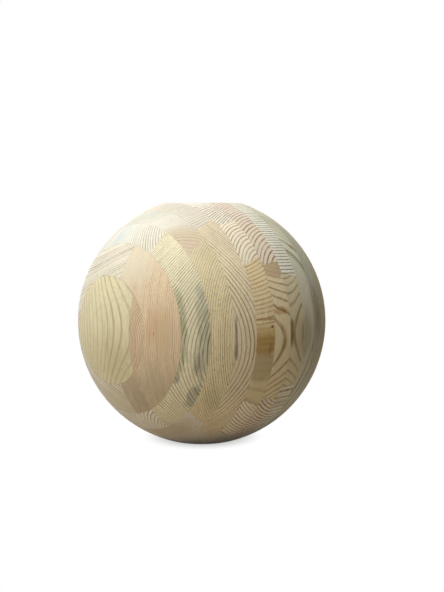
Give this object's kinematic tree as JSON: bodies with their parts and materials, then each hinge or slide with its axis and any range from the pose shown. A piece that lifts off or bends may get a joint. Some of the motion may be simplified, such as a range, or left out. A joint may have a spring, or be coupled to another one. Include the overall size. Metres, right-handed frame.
{
  "type": "wooden ball",
  "caption": "Solid pine ball turned from a block of upright edge-glued staves, with a small flat at its top and base.",
  "frame": {"origin": "middle of the base flat, on the ball's turning axis", "axes": "+Z along the turning axis and the grain, from the base flat to the top flat; +X along the boards, +Y across them, so -Y is the front board"},
  "size_m": [0.25, 0.25, 0.2382],
  "materials": {
    "pine_pale": "turned and fine-sanded pine sapwood, bare, nearly white",
    "pine_golden": "turned and fine-sanded pine, bare, yellow with bold brown latewood lines",
    "pine_beige": "turned and fine-sanded pine, bare, plain beige with fine rings",
    "pine_salmon": "turned and fine-sanded pine, bare, pinkish plain-grained stave",
    "pine_brown": "turned and fine-sanded pine heartwood, bare, red-brown with dense rings"
  },
  "bodies": {
    "root": {"lamella_01_stave_1": "pine_golden", "lamella_01_stave_2": "pine_brown", "lamella_02_stave_1": "pine_pale", "lamella_02_stave_2": "pine_salmon", "lamella_03_stave_1": "pine_golden", "lamella_03_stave_2": "pine_pale", "lamella_03_stave_3": "pine_beige", "lamella_04_stave_1": "pine_pale", "lamella_04_stave_2": "pine_brown", "lamella_04_stave_3": "pine_golden", "lamella_05_stave_1": "pine_pale", "lamella_05_stave_2": "pine_beige", "lamella_05_stave_3": "pine_beige", "lamella_06_stave_1": "pine_beige", "lamella_06_stave_2": "pine_pale", "lamella_06_stave_3": "pine_pale", "lamella_06_stave_4": "pine_beige", "lamella_06_stave_5": "pine_golden", "lamella_07_stave_1": "pine_pale", "lamella_07_stave_2": "pine_beige", "lamella_07_stave_3": "pine_salmon", "lamella_07_stave_4": "pine_beige", "lamella_08_stave_1": "pine_beige", "lamella_08_stave_2": "pine_golden", "lamella_08_stave_3": "pine_pale", "lamella_08_stave_4": "pine_beige", "lamella_09_stave_1": "pine_salmon", "lamella_09_stave_2": "pine_beige", "lamella_09_stave_3": "pine_pale", "lamella_10_stave_1": "pine_pale", "lamella_10_stave_2": "pine_golden", "lamella_10_stave_3": "pine_beige", "lamella_10_stave_4": "pine_pale", "lamella_11_stave_1": "pine_beige", "lamella_11_stave_2": "pine_pale", "lamella_11_stave_3": "pine_golden", "lamella_12_stave_1": "pine_golden", "lamella_12_stave_2": "pine_pale", "lamella_12_stave_3": "pine_beige", "lamella_13_stave_1": "pine_pale", "lamella_13_stave_2": "pine_salmon", "lamella_13_stave_3": "pine_beige", "lamella_14_stave_1": "pine_beige", "lamella_14_stave_2": "pine_pale"}
  },
  "joints": []
}
